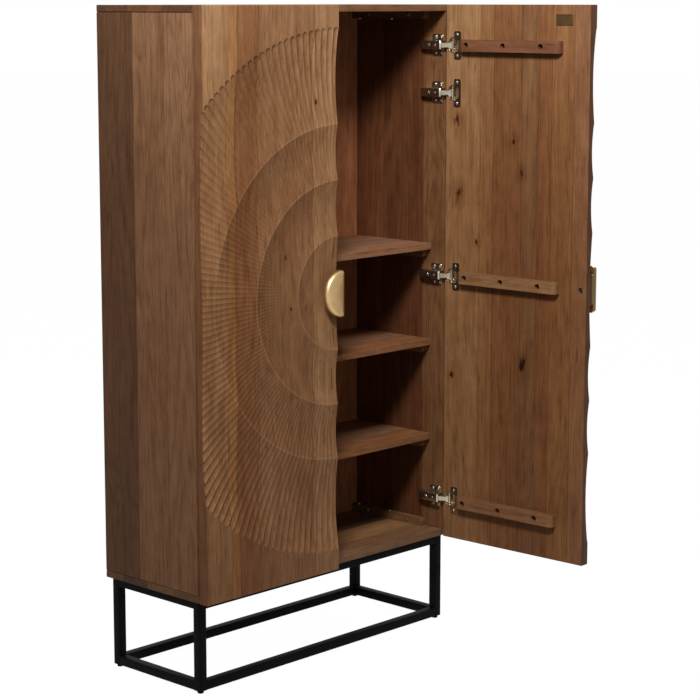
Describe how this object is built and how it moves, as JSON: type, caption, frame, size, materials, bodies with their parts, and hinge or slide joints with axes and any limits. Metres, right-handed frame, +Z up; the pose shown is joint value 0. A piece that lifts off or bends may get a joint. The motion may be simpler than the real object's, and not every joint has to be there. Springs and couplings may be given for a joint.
{
  "type": "two-door cabinet",
  "caption": "Tall wooden cabinet with carved ring doors on concealed hinges, shelves inside, half-disc handles and a square-tube frame base.",
  "frame": {"origin": "on the floor under the middle of the object's outline as stored, with the right door open", "axes": "+X to the right seen from the front, +Y towards the back, +Z up; the doors face -Y"},
  "size_m": [0.8329, 0.7032, 1.45],
  "materials": {
    "carcass_wood": "satin clear finish",
    "back_wood": "satin clear finish",
    "cleat_wood": "satin clear finish",
    "door_wood": "satin clear finish",
    "black_frame": "matt powder coat",
    "black_foot": "matt",
    "satin_brass": "satin",
    "nickel_steel": "bright nickel plate"
  },
  "bodies": {
    "cabinet": {"lid_panel": "carcass_wood", "floor_panel": "carcass_wood", "left_side_panel": "carcass_wood", "right_side_panel": "carcass_wood", "back_panel": "back_wood", "lower_shelf": "carcass_wood", "middle_shelf": "carcass_wood", "upper_shelf": "carcass_wood", "left_lid_cleat": "cleat_wood", "left_upper_shelf_cleat": "cleat_wood", "left_middle_shelf_cleat": "cleat_wood", "left_lower_shelf_cleat": "cleat_wood", "left_floor_cleat": "cleat_wood", "right_lid_cleat": "cleat_wood", "right_upper_shelf_cleat": "cleat_wood", "right_middle_shelf_cleat": "cleat_wood", "right_lower_shelf_cleat": "cleat_wood", "right_floor_cleat": "cleat_wood", "left_front_leg": "black_frame", "left_back_leg": "black_frame", "right_front_leg": "black_frame", "right_back_leg": "black_frame", "front_top_rail": "black_frame", "back_top_rail": "black_frame", "left_top_rail": "black_frame", "right_top_rail": "black_frame", "front_bottom_rail": "black_frame", "back_bottom_rail": "black_frame", "left_bottom_rail": "black_frame", "right_bottom_rail": "black_frame", "levelling_feet": "black_foot", "left_hinge_plates": "nickel_steel", "left_hinge_arms": "nickel_steel", "right_hinge_plates": "nickel_steel", "right_hinge_arms": "nickel_steel"},
    "left_leaf": {"left_door": "door_wood", "left_top_batten": "cleat_wood", "left_middle_batten": "cleat_wood", "left_bottom_batten": "cleat_wood", "left_handle": "satin_brass", "left_handle_screw": "nickel_steel", "left_hinge_cups": "nickel_steel"},
    "right_leaf": {"right_door": "door_wood", "right_top_batten": "cleat_wood", "right_middle_batten": "cleat_wood", "right_bottom_batten": "cleat_wood", "right_handle": "satin_brass", "right_handle_screw": "nickel_steel", "right_hinge_cups": "nickel_steel"},
    "left_links": {"left_hinge_links": "nickel_steel"},
    "right_links": {"right_hinge_links": "nickel_steel"}
  },
  "joints": [
    {"name": "left_door_swing", "type": "hinge", "parent": "cabinet", "child": "left_leaf", "pos_m": [-0.4055, 0.0361, 0.8275], "axis": [0, 0, -1], "range_deg": [0, 95]},
    {"name": "right_door_swing", "type": "hinge", "parent": "cabinet", "child": "right_leaf", "pos_m": [0.3725, 0.0361, 0.8275], "axis": [0, 0, 1], "range_deg": [-92, 3]},
    {"name": "left_link_turn", "type": "hinge", "parent": "left_leaf", "child": "left_links", "pos_m": [-0.399, 0.0466, 0.8275], "axis": [0, 0, -1], "range_deg": [-95, 0]},
    {"name": "right_link_turn", "type": "hinge", "parent": "right_leaf", "child": "right_links", "pos_m": [0.36223, 0.02924, 0.8275], "axis": [0, 0, 1], "range_deg": [-3, 92]}
  ],
  "couplings": [
    {"joint": "left_link_turn", "follows": "left_door_swing", "ratio": -1},
    {"joint": "right_link_turn", "follows": "right_door_swing", "ratio": -1}
  ]
}
